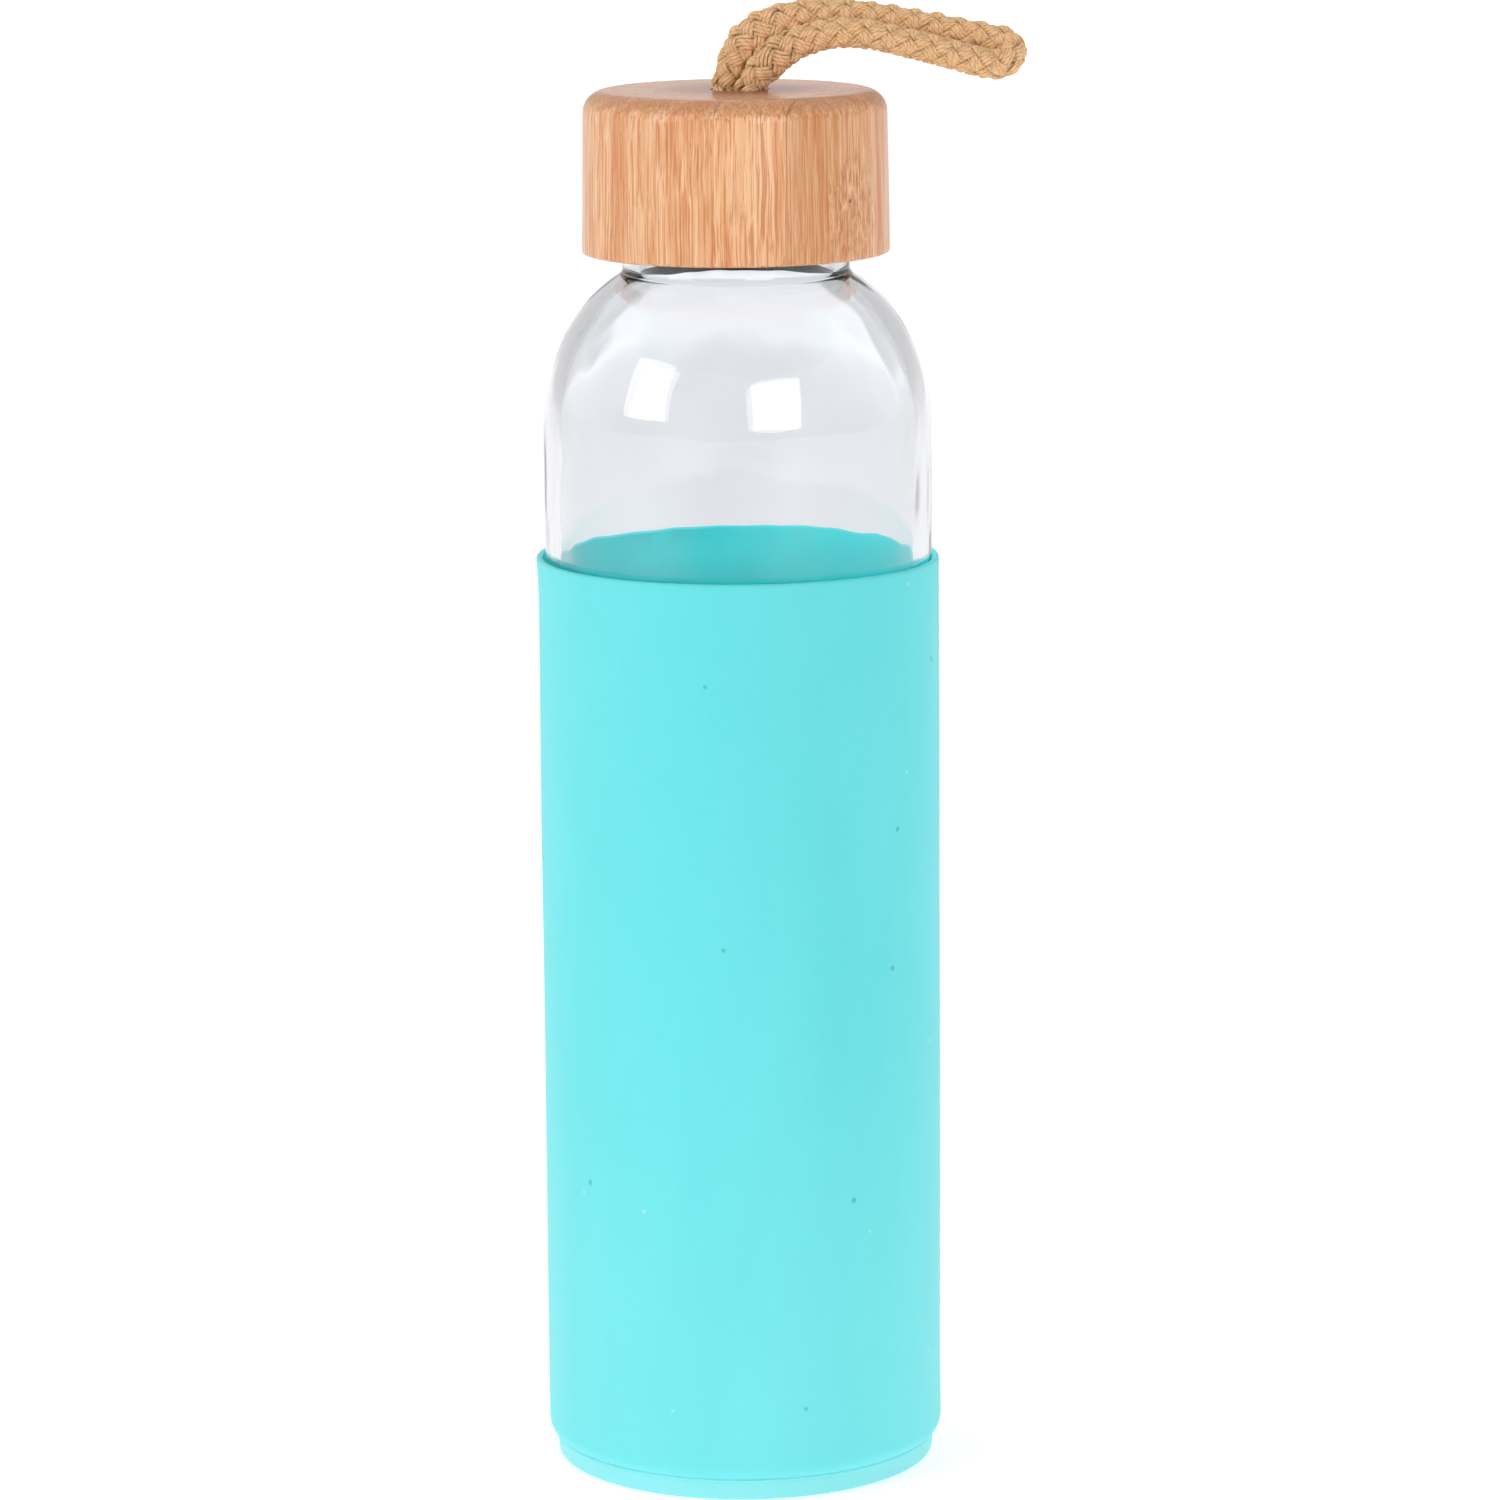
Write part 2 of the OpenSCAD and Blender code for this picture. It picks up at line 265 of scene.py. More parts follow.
def glass_material():
    """Clear soda-lime glass with the faint waves of a blown bottle."""
    p = Paint("clear_glass")
    waves = p.noise(p.scaled(p.mm, (1, 1, 0.45)), 0.11, 1.0)
    smears = p.noise(p.scaled(p.mm, (1, 1, 0.4)), 0.25, 4.0, 0.6)
    p.finish(
        base_color=(0.892, 0.899, 0.916),
        transmission_weight=1.0,
        ior=1.5,
        roughness=p.step(smears, 0.62, 0.8, 0.0, 0.045),
        normal=p.bump(waves, 0.22 * MM),
    )
    return p.lets_lamps_through((0.97, 0.975, 0.975))


def silicone_material():
    """Turquoise silicone with a fine grain and specks of lint. Inside it is deeper and brighter, painted
    light for light that shines through it from behind; outside it is a little paler, a painted sheen of
    studio light, and paler still towards the foot, painted light from the floor.
    """
    p = Paint("turquoise_silicone")
    x, y, up = p.parts(p.mm)
    outside = p.step(p.vector("LENGTH", p.joined(x, y, 0.0)), SLEEVE_R / MM - 0.8, SLEEVE_R / MM - 0.5)
    outside = p.math("MAXIMUM", outside, p.step(up, 8, 7.5))
    clouds = p.noise(p.scaled(p.mm, (1, 1, 0.4)), 0.05, 3.0, 0.6)
    grain = p.noise(p.mm, 3.2, 3.0, 0.65)
    # The inside's deeper, brighter colour is painted light: light that shines through the silicone from
    # behind.
    colour = p.mix(p.step(clouds, 0.3, 0.7), (0.0, 0.94, 0.95), (0.003, 0.98, 0.98))
    # The outside's paler colour is a painted sheen, a veil of studio light on the matte surface. The grain,
    # specks and lint mixed in below are the silicone's own.
    painted_sheen_and_lint = p.mix(p.step(clouds, 0.3, 0.7), (0.13, 0.735, 0.76), (0.145, 0.76, 0.785))
    painted_sheen_and_lint = p.mix(p.step(grain, 0.35, 0.75, 0.0, 0.16), painted_sheen_and_lint, (0.2, 0.8, 0.82))
    # Paler towards the bottom, and more so at the foot: painted light from the white floor.
    painted_sheen_and_lint = p.mix(p.step(up, 90, 6, 0.0, 0.07), painted_sheen_and_lint, (0.6, 0.84, 0.86))
    painted_sheen_and_lint = p.mix(p.step(up, 5, 2, 0.0, 0.25), painted_sheen_and_lint, (0.6, 0.84, 0.86))
    specks = p.step(p.cells(p.mm, 0.085), 0.05, 0.028)
    painted_sheen_and_lint = p.mix(p.math("MULTIPLY", specks, 0.55), painted_sheen_and_lint, (0.06, 0.3, 0.32))
    lint = p.step(p.cells(p.vector("ADD", p.mm, (31, 17, 5)), 0.11), 0.05, 0.02)
    painted_sheen_and_lint = p.mix(p.math("MULTIPLY", lint, 0.35), painted_sheen_and_lint, (0.75, 0.9, 0.9))
    return p.finish(
        base_color=p.mix(outside, colour, painted_sheen_and_lint),
        roughness=p.step(grain, 0.2, 0.8, 0.46, 0.6),
        specular_ior_level=0.3,
        sheen_weight=0.1,
        sheen_roughness=0.5,
        sheen_tint=(0.9, 1, 1, 1),
        subsurface_weight=0.12,
        subsurface_radius=(0.2, 0.9, 1.0),
        subsurface_scale=1.2 * MM,
        normal=p.bump(grain, 0.012 * MM),
    )


def bamboo_material(number, low, high, light, low_glue, high_glue):
    """Lacquered bamboo whose fibres stand upright: streaks on the side, the bundles' dots on top.

    low and high are the slat's glue lines, in millimetres along the slats' normal, low_glue and high_glue how
    dark they are, and light is the slat's own tone.
    """
    p = Paint(f"bamboo_{number}")
    turning = p.node("ShaderNodeVectorRotate", {"Vector": p.mm, "Angle": SLAT_ANGLE}, rotation_type="Z_AXIS")
    turned = turning.outputs[0]
    across, _, up = p.parts(turned)
    own = p.vector("ADD", turned, (17.3 * number, 9.1 * number, 31.7 * number))
    drift = p.noise(p.scaled(own, (0.08, 0.08, 0.09)), 1.0, 1.0, output="Color")
    drift = p.scaled(p.vector("SUBTRACT", drift, (0.5, 0.5, 0.5)), (0.7, 0.7, 0))
    body = p.vector("ADD", own, drift)
    top_z = CAP_TOP_Z / MM

    fibre = p.noise(p.scaled(body, (2.2, 2.2, 0.03)), 1.0, 3.0, 0.6)
    fine = p.noise(p.scaled(body, (4.6, 4.6, 0.07)), 1.0, 2.0, 0.6)
    broad = p.noise(p.scaled(body, (0.5, 0.5, 0.012)), 1.0, 2.0)
    grown = p.scaled(body, (1.3, 1.3, 0.022))
    bundle = p.step(p.cells(grown), 0.3, 0.12)
    fades = p.noise(p.scaled(body, (0.9, 0.9, 0.085)), 1.0, 2.0)
    streak = p.math("MULTIPLY", bundle, p.step(fades, 0.42, 0.6, 0.08, 1.0))

    pale = tuple(c * light for c in BAMBOO_PALE)
    warm = tuple(c * light for c in BAMBOO_WARM)
    colour = p.mix(p.step(broad, 0.34, 0.66), pale, warm)
    colour = p.mix(p.step(fibre, 0.5, 0.62, 0.0, 0.85), colour, BAMBOO_STREAK)
    colour = p.mix(p.step(fibre, 0.43, 0.3, 0.0, 0.55), colour, BAMBOO_SILVER)
    colour = p.mix(p.step(fine, 0.53, 0.62, 0.0, 0.75), colour, BAMBOO_STREAK)
    colour = p.mix(p.step(fine, 0.42, 0.32, 0.0, 0.4), colour, BAMBOO_SILVER)
    colour = p.mix(p.math("MULTIPLY", streak, 0.85), colour, BAMBOO_BUNDLE)

    # End grain: darker and dotted by the bundles. The top is also darker round the rope's hole.
    end = p.step(p.parts(p.normal)["Z"], 0.2, 0.8)
    dots = p.step(p.cells(p.scaled(body, (2.7, 2.7, 0.02))), 0.34, 0.16)
    dots = p.math("MULTIPLY", p.math("MULTIPLY", dots, end), p.step(fades, 0.35, 0.6, 0.25, 1.0))
    colour = p.mix(p.math("MULTIPLY", end, 0.55), colour, (0.5, 0.225, 0.1))
    colour = p.mix(p.math("MULTIPLY", dots, 0.6), colour, (0.3, 0.1, 0.035))
    from_hole = p.vector("DISTANCE", p.mm, (ROPE_HOLE_X / MM, 0, top_z))
    colour = p.mix(p.step(from_hole, 17, 6, 0.0, 0.9), colour, (0.3, 0.085, 0.025))

    if number == 6:
        # The dashes and the eye of the culm's node
        spot = p.vector("SUBTRACT", p.mm, (18.6, -16.2, 207.0))
        spot = p.vector("LENGTH", p.scaled(spot, (1 / 5.6, 1 / 5.6, 1 / 7.6)))
        ragged = p.noise(p.scaled(body, (1.1, 1.1, 0.35)), 1.0, 2.0)
        patch = p.step(p.math("ADD", spot, p.math("MULTIPLY", ragged, 0.9)), 1.75, 1.25)
        dashes = p.noise(p.scaled(body, (2.3, 2.3, 0.42)), 1.0, 2.0, 0.6)
        dark = p.math("MULTIPLY", p.step(dashes, 0.5, 0.64), patch)
        pale_dash = p.math("MULTIPLY", p.step(dashes, 0.45, 0.32), patch)
        colour = p.mix(p.math("MULTIPLY", dark, 0.85), colour, (0.5, 0.19, 0.06))
        colour = p.mix(p.math("MULTIPLY", pale_dash, 0.65), colour, (0.9, 0.6, 0.34))
        eye = p.step(p.vector("DISTANCE", p.mm, (18.2, -16.9, 208.6)), 0.6, 0.2)
        colour = p.mix(p.math("MULTIPLY", eye, 0.85), colour, (0.05, 0.06, 0.03))

    # Glue: a thin line that comes and goes, and cracks open over the rounded edge
    breaks = p.noise(p.scaled(own, (0.4, 1.3, 0.6)), 1.0, 3.0, 0.7)
    wander = p.noise(p.scaled(own, (0.2, 0.9, 0.5)), 1.0, 3.0, 0.7)
    wander = p.math("MULTIPLY", p.math("SUBTRACT", wander, 0.5), 0.5)
    over_edge = p.step(up, top_z - 3.4, top_z - 1.2)
    reach = p.math("ADD", p.step(breaks, 0.35, 0.7, 0.05, 0.12), p.math("MULTIPLY", over_edge, 0.13))
    for line, glue in ((low, low_glue), (high, high_glue)):
        near = p.math("ADD", line, p.math("MULTIPLY", wander, over_edge))
        away = p.math("ABSOLUTE", p.math("SUBTRACT", across, near))
        stain = p.math("SUBTRACT", 1.0, p.math("DIVIDE", away, reach), clamp=True)
        seen = p.math("MULTIPLY", stain, p.step(up, top_z - 5, top_z - 2, 0.4 * glue, glue))
        colour = p.mix(seen, colour, (0.25, 0.085, 0.035))

    height = p.math("SUBTRACT", p.math("MULTIPLY", fibre, 0.6), p.math("MULTIPLY", streak, 0.5))
    return p.finish(
        base_color=colour,
        roughness=p.math("ADD", p.step(fibre, 0.3, 0.7, 0.36, 0.48), p.math("MULTIPLY", end, 0.32)),
        normal=p.bump(height, 0.03 * MM),
        coat_weight=0.42,
        coat_roughness=0.16,
        coat_ior=1.5,
    )


def jute_material():
    """Jute yarn. The map "yarn" runs round each yarn and along it, in millimetres, and "height" is low in
    the crevices between the strands, where the colour is darkened as painted shade."""
    p = Paint("jute_rope")
    yarn = p.node("ShaderNodeUVMap", uv_map="yarn").outputs[0]
    round_it, along_it, _ = p.parts(yarn)
    twist = p.math("ADD", p.math("MULTIPLY", round_it, 2.0), p.math("MULTIPLY", along_it, 0.75))
    ply = p.math("ABSOLUTE", p.math("SUBTRACT", p.math("FRACT", twist), 0.5))
    strands = p.joined(p.math("MULTIPLY", twist, 5.0), p.math("MULTIPLY", along_it, 0.5), 0.0)
    hair = p.noise(strands, 3.0, 3.0, 0.7)
    patchy = p.noise(p.mm, 0.55, 3.0, 0.6)
    spots = p.noise(p.mm, 1.7, 2.0, 0.6)
    colour = p.mix(p.step(patchy, 0.38, 0.62), (0.95, 0.59, 0.31), (0.88, 0.565, 0.265))
    colour = p.mix(p.step(spots, 0.5, 0.7, 0.0, 0.8), colour, (0.88, 0.42, 0.2))
    colour = p.mix(p.step(spots, 0.4, 0.24, 0.0, 0.5), colour, (0.76, 0.54, 0.21))
    colour = p.mix(p.step(hair, 0.48, 0.72, 0.0, 0.7), colour, (0.98, 0.8, 0.56))
    colour = p.mix(p.step(hair, 0.42, 0.28, 0.0, 0.6), colour, (0.46, 0.22, 0.08))
    # Painted shade in the grooves between the twisted plies, where the bump is low.
    colour = p.mix(p.step(ply, 0.12, 0.0, 0.0, 0.6), colour, (0.3, 0.14, 0.05))
    standing = p.node("ShaderNodeAttribute", attribute_name="height").outputs["Fac"]
    # Painted shade: darker where the yarn stands low, in the crevices between the strands.
    colour = p.mix(p.step(standing, 0.92, 0.62, 0.0, 0.85), colour, (0.26, 0.1, 0.03))
    height = p.math("ADD", p.math("MULTIPLY", ply, 0.9), p.math("MULTIPLY", hair, 0.5))
    return p.finish(
        base_color=colour,
        roughness=0.85,
        specular_ior_level=0.25,
        sheen_weight=0.35,
        sheen_roughness=0.5,
        sheen_tint=(1, 0.9, 0.72, 1),
        normal=p.bump(height, 0.13 * MM),
    )


def moulded_material(name, colour, roughness, grain_depth):
    """A plain moulded part: an even colour with a fine grain, and slightly worn gloss."""
    p = Paint(name)
    grain = p.noise(p.mm, 2.4, 3.0, 0.6)
    worn = p.noise(p.mm, 0.3, 3.0, 0.6)
    dusty = tuple(c * 0.93 for c in colour)
    return p.finish(
        base_color=p.mix(p.step(worn, 0.35, 0.7), colour, dusty),
        roughness=p.step(worn, 0.3, 0.7, roughness - 0.06, roughness + 0.08),
        normal=p.bump(grain, grain_depth),
    )


def floor_material():
    """White paper. It glows behind and just around the bottle, as a sweep that is lit from behind does.

    Further to the sides it glows a little, and in front of the bottle hardly at all. Outside the glowing zone
    the paper is also darker, painted shade, most in front of the bottle.
    """
    p = Paint("studio_floor")
    across, deep, _ = p.parts(p.mm)
    lit = p.step(p.math("ABSOLUTE", across), 1200, 600)
    lit = p.math("MULTIPLY", lit, p.step(deep, -330, -90))
    glow = p.math("ADD", p.step(deep, 60, 550, 0.43, 0.385), p.step(deep, 1100, 3400, 0.0, 0.3))
    # Painted shade: outside the glowing zone the paper is darker, most in front of the bottle.
    beside = p.step(p.math("ABSOLUTE", across), 250, 700)
    dim = p.mix(beside, (0.68, 0.68, 0.68), (0.82, 0.82, 0.82))
    faint = p.math("ADD", p.math("MULTIPLY", beside, 0.25), 0.05)
    tone = p.noise(p.mm, 0.004, 2.0)
    return p.finish(
        base_color=p.mix(lit, dim, p.mix(tone, (0.9, 0.9, 0.9), (0.93, 0.93, 0.93))),
        roughness=0.75,
        specular_ior_level=0.15,
        emission_color=(1.0, 1.0, 1.0),
        emission_strength=p.math("ADD", faint, p.math("MULTIPLY", lit, p.math("SUBTRACT", glow, faint))),
    )


# ---------------------------------------------------------------- mesh helpers

def arc(centre, radius, start, end, steps):
    """Points on a circle in the (radius, z) plane, angles in degrees."""
    angles = [math.radians(start + (end - start) * i / steps) for i in range(steps + 1)]
    return [(centre[0] + radius * math.cos(a), centre[1] + radius * math.sin(a)) for a in angles]


def bezier(points, steps):
    p = [Vector(q) for q in points]
    made = []
    for i in range(steps + 1):
        t = i / steps
        u = 1 - t
        made.append(tuple(u ** 3 * p[0] + 3 * u * u * t * p[1] + 3 * u * t * t * p[2] + t ** 3 * p[3]))
    return made


def straight(a, b, steps):
    """The points between a and b, without either."""
    return [tuple(Vector(a).lerp(Vector(b), i / steps)) for i in range(1, steps)]


def piece(name, verts, faces, material, sharp_angle=40):
    """A mesh object with smooth faces, apart from edges sharper than that angle."""
    mesh = bpy.data.meshes.new(name)
    mesh.from_pydata([tuple(v) for v in verts], [], faces)
    mesh.validate()
    return piece_of_mesh(name, mesh, material, sharp_angle)


def piece_of_mesh(name, mesh, material, sharp_angle=40):
    bm = bmesh.new()
    bm.from_mesh(mesh)
    bmesh.ops.recalc_face_normals(bm, faces=bm.faces)
    for face in bm.faces:
        face.smooth = True
    for edge in bm.edges:
        edge.smooth = len(edge.link_faces) == 2 and edge.calc_face_angle() < math.radians(sharp_angle)
    bm.to_mesh(mesh)
    bm.free()
    mesh.materials.append(material)
    made = bpy.data.objects.new(name, mesh)
    bpy.context.scene.collection.objects.link(made)
    return made


def revolve(profile, segments, shape=None):
    """The points and faces of a profile of (radius, z) points turned about the axis.

    A profile that starts and ends on the axis is closed there, and any other one is closed on itself.
    shape(angle, radius, z, row) may change a point's radius and z.
    """
    verts, rings = [], []
    for row, (r, z) in enumerate(profile):
        if r < 1e-9:
            rings.append([len(verts)] * segments)
            verts.append((0, 0, z))
            continue
        rings.append(list(range(len(verts), len(verts) + segments)))
        for j in range(segments):
            angle = 2 * math.pi * j / segments
            radius, height = shape(angle, r, z, row) if shape else (r, z)
            verts.append((radius * math.cos(angle), radius * math.sin(angle), height))
    if profile[0][0] > 1e-9:
        rings.append(rings[0])
    faces = []
    for a, b in zip(rings, rings[1:]):
        for j in range(segments):
            k = (j + 1) % segments
            corners = [a[j], a[k], b[k], b[j]]
            corners = [c for i, c in enumerate(corners) if c not in corners[:i]]
            if len(corners) > 2:
                faces.append(corners)
    return verts, faces


def ridge(angle, z, start_z, first, last):
    """How much of a helical ridge there is at this point, from 0 to 1. first and last are in degrees."""
    most = 0.0
    for turn in (0, 1):
        a = math.degrees(angle) % 360 + 360 * turn
        if first <= a <= last:
            fade = min(1, (a - first) / 50, (last - a) / 50)
            away = abs(z - start_z - THREAD_LEAD * a / 360) / MM
            side = min(1, max(0, (1.05 - away) / 0.75))
            most = max(most, fade * side * side * (3 - 2 * side))
    return most


# ---------------------------------------------------------------- glass bottle

def shoulder_curve(wall_r, centre, fillet_r, up, down):
    """From the wall to the neck's fillet, with a handle up from the wall and one down the slope."""
    a = math.radians(270) - SHOULDER_SLOPE
    end = (centre[0] + fillet_r * math.cos(a), centre[1] + fillet_r * math.sin(a))
    handle = (end[0] + down * math.cos(SHOULDER_SLOPE), end[1] - down * math.sin(SHOULDER_SLOPE))
    return bezier([(wall_r, SHOULDER_Z), (wall_r, SHOULDER_Z + up), handle, end], 40)


def build_glass(material):
    """The whole bottle as one watertight wall, with its thread, and a little unevenness inside."""
    floor_z = SLEEVE_FLOOR + GLASS_FLOOR
    fillet_r, heel_r, inner_heel_r, lip_r = 1.5 * MM, 5.5 * MM, 8 * MM, 0.8 * MM
    fillet = (NECK_R + fillet_r, NECK_Z + fillet_r)
    bore_r = NECK_R - NECK_WALL
    fillet_end = 270 - math.degrees(SHOULDER_SLOPE)
    punt = [(20 * MM * t, SLEEVE_FLOOR + MM * (1 - t * t)) for t in (0, 0.25, 0.5, 0.75, 0.9, 1)]
    outer = shoulder_curve(GLASS_R, fillet, fillet_r, 14.7 * MM, 6.3 * MM)
    slope_end = fillet[0] + (fillet_r + NECK_WALL) * math.cos(math.radians(fillet_end))
    slope_end_z = fillet[1] + (fillet_r + NECK_WALL) * math.sin(math.radians(fillet_end))
    corner_z = slope_end_z + (slope_end - bore_r) * math.tan(SHOULDER_SLOPE)
    bore_fillet_r = 1 * MM
    half_turn = (math.pi / 2 - SHOULDER_SLOPE) / 2
    bore_fillet = (bore_r + bore_fillet_r, corner_z + bore_fillet_r * math.tan(half_turn))
    inner = shoulder_curve(GLASS_BORE_R, bore_fillet, bore_fillet_r, 13.4 * MM, 7.4 * MM)
    heel = arc((GLASS_R - heel_r, SLEEVE_FLOOR + heel_r), heel_r, -90, 0, 10)
    outer_profile = punt + heel + straight(heel[-1], outer[0], 24) + outer
    outer_profile += arc(fillet, fillet_r, fillet_end, 180, 8)[1:]
    lip = arc((NECK_R - lip_r, MOUTH_Z - lip_r), lip_r, 0, 90, 6)
    outer_profile += straight(outer_profile[-1], lip[0], 48) + lip
    inner_profile = arc((bore_r + lip_r, MOUTH_Z - lip_r), lip_r, 90, 180, 6)
    inner_profile += straight(inner_profile[-1], (bore_r, bore_fillet[1]), 12)
    inner_profile += arc(bore_fillet, bore_fillet_r, 180, fillet_end, 8)[:-1] + inner[::-1]
    inner_heel = arc((GLASS_BORE_R - inner_heel_r, floor_z + inner_heel_r), inner_heel_r, 0, -90, 12)
    inner_profile += straight(inner[0], inner_heel[0], 24) + inner_heel
    inner_profile += [(GLASS_BORE_R * t, floor_z) for t in (0.5, 0.25)] + [(0, floor_z)]
    inner_from = len(outer_profile)

    def shape(angle, r, z, row):
        if row < inner_from:
            on_neck = NECK_Z + fillet_r < z < MOUTH_Z - lip_r
            return r + (THREAD_H * ridge(angle, z, MOUTH_Z - 7.2 * MM, 0, 450) if on_neck else 0), z
        wave = noise.noise(Vector((2.2 * math.cos(angle), 2.2 * math.sin(angle), z / (18 * MM))))
        free = min(1, max(0, (z - floor_z) / (10 * MM))) * min(1, max(0, (MOUTH_Z - z) / (6 * MM)))
        return r + 0.05 * MM * wave * free, z

    made = piece("glass_body", *revolve(outer_profile + inner_profile, 192, shape), material)
    return finish_piece(made, "bottle", "clear_glass", "glass_bottle")


def finish_piece(made, body, slot, *nodes):
    """The piece rides on that body and stands for those CAD nodes, which it hides. slot is not used."""
    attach(made, body)
    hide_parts(*nodes)
    return made


# ---------------------------------------------------------------- sleeve

def build_sleeve(material):
    """A soft skin: a bead above a set-back foot, an uneven wall, and a rim a little open on the left."""
    foot_h, set_back, bead_r, skirt_h, rim_r = 3 * MM, 1.3 * MM, 0.3 * MM, 2.6 * MM, 0.45 * MM
    foot_r, bore_r, heel_r = SLEEVE_R - set_back, SLEEVE_R - SLEEVE_WALL, 5 * MM
    bead_z = foot_h + bead_r
    wall_z = bead_z + skirt_h
    profile = [(0, 0), (0.3 * foot_r, 0), (0.7 * foot_r, 0)]
    profile += arc((foot_r - 0.7 * MM, 0.5 * MM), 0.5 * MM, -90, 0, 5) + [(foot_r, foot_h)]
    profile += arc((foot_r, bead_z), bead_r, -60, 60, 6)
    for i in range(13):
        a = math.radians(16 + 74 * i / 12)
        profile.append((foot_r + set_back * math.sin(a), wall_z - (skirt_h - bead_r) * math.cos(a)))
    rim = arc((SLEEVE_R - rim_r, SLEEVE_H - rim_r), rim_r, 0, 90, 6)
    profile += straight(profile[-1], rim[0], 90) + rim
    profile += arc((bore_r + rim_r, SLEEVE_H - rim_r), rim_r, 90, 180, 6)
    inner_from = len(profile) - 1
    heel = arc((bore_r - heel_r, SLEEVE_FLOOR + heel_r), heel_r, 0, -90, 8)
    profile += straight(profile[-1], heel[0], 40) + heel + [(0.5 * bore_r, SLEEVE_FLOOR), (0, SLEEVE_FLOOR)]

    def shape(angle, r, z, row):
        high = max(0, (z - SLEEVE_H + 9 * MM) / (9 * MM)) ** 2
        left = max(0, math.cos(angle - math.radians(188))) ** 3
        right = max(0, math.cos(angle - math.radians(-8))) ** 4
        lift = 0.34 * MM * left * high
        z -= 0.35 * MM * right * high
        if row >= inner_from:
            return r + lift, z
        wave = noise.noise(Vector((1.4 * math.cos(angle), 1.4 * math.sin(angle), z / (45 * MM))))
        soft = min(1, max(0, (z - wall_z) / (6 * MM)))
        return r + lift + (0.13 * wave - 0.02) * MM * soft, z

    made = piece("sleeve_skin", *revolve(profile, 256, shape), material)
    return finish_piece(made, "sleeve", "turquoise_silicone", "silicone_sleeve")


# ---------------------------------------------------------------- cap

def cap_profile():
    """The turned cap's outline: outside, rounded top edge, rope hole, knot chamber and bore."""
    foot_r, hole_round = 0.5 * MM, 0.3 * MM
    bore_r = LINER_R + 0.1 * MM
    foot = arc((CAP_R - foot_r, CAP_Z + foot_r), foot_r, -90, 0, 5)
    edge = arc((CAP_TOP_R - CAP_EDGE_R, CAP_TOP_Z - CAP_EDGE_R), CAP_EDGE_R, 0, 90, 18)
    hole = arc((ROPE_HOLE_R + hole_round, CAP_TOP_Z - hole_round), hole_round, 90, 180, 5)
    roof_z = CAP_TOP_Z - CAP_ROOF
    profile = [(bore_r, CAP_Z + 0.3 * MM), (bore_r + 0.3 * MM, CAP_Z)] + foot
    profile += straight(foot[-1], edge[0], 16) + edge + straight(edge[-1], hole[0], 14) + hole
    profile += [(ROPE_HOLE_R, roof_z), (CHAMBER_R, roof_z), (CHAMBER_R, LINER_TOP_Z), (bore_r, LINER_TOP_Z)]
    return profile


def cut_slat(shell, low, high):
    """The stretch of the cap's shell between two upright planes, closed where they cut it."""
    bm = shell.copy()
    normal = Vector((math.cos(SLAT_ANGLE), -math.sin(SLAT_ANGLE), 0))
    for place, outward in ((low, -normal), (high, normal)):
        geometry = bm.verts[:] + bm.edges[:] + bm.faces[:]
        bmesh.ops.bisect_plane(
            bm, geom=geometry, dist=1e-7, plane_co=normal * place, plane_no=outward, clear_outer=True,
        )
        rims = [e for e in bm.edges if len(e.link_faces) == 1]
        bmesh.ops.holes_fill(bm, edges=rims, sides=0)
    mesh = bpy.data.meshes.new("slat")
    bm.to_mesh(mesh)
    bm.free()
    return mesh


def build_cap():
    """Six upright slats, cut from one turned shell, with hairline joints between them."""
    joint = 0.004 * MM
    beyond = 40 * MM
    tones = (0.98, 1.0, 0.96, 0.99, 1.07, 0.94)
    glue = (0.15, 0.15, 0.15, 0.2, 0.45, 0.85, 0.15)
    shell = bmesh.new()
    verts, faces = revolve(cap_profile(), 288)
    made_verts = []
    for x, y, z in verts:
        near_hole = min(1, max(0, (CHAMBER_R - math.hypot(x, y)) / (0.8 * (CHAMBER_R - ROPE_HOLE_R))))
        made_verts.append(shell.verts.new((x + ROPE_HOLE_X * near_hole, y, z)))
    for f in faces:
        shell.faces.new([made_verts[i] for i in f])
    for number, light in enumerate(tones, 1):
        low, high = (SLAT_SHIFT + (number - n) * SLAT_W for n in (4, 3))
        material = bamboo_material(number, low / MM, high / MM, light, glue[number - 1], glue[number])
        cut_low = -beyond if number == 1 else low + joint
        cut_high = beyond if number == len(tones) else high - joint
        made = piece_of_mesh(f"cap_slat_{number}", cut_slat(shell, cut_low, cut_high), material, 30)
        finish_piece(made, "cap", "bamboo", f"bamboo_slat_{number}")
    shell.free()


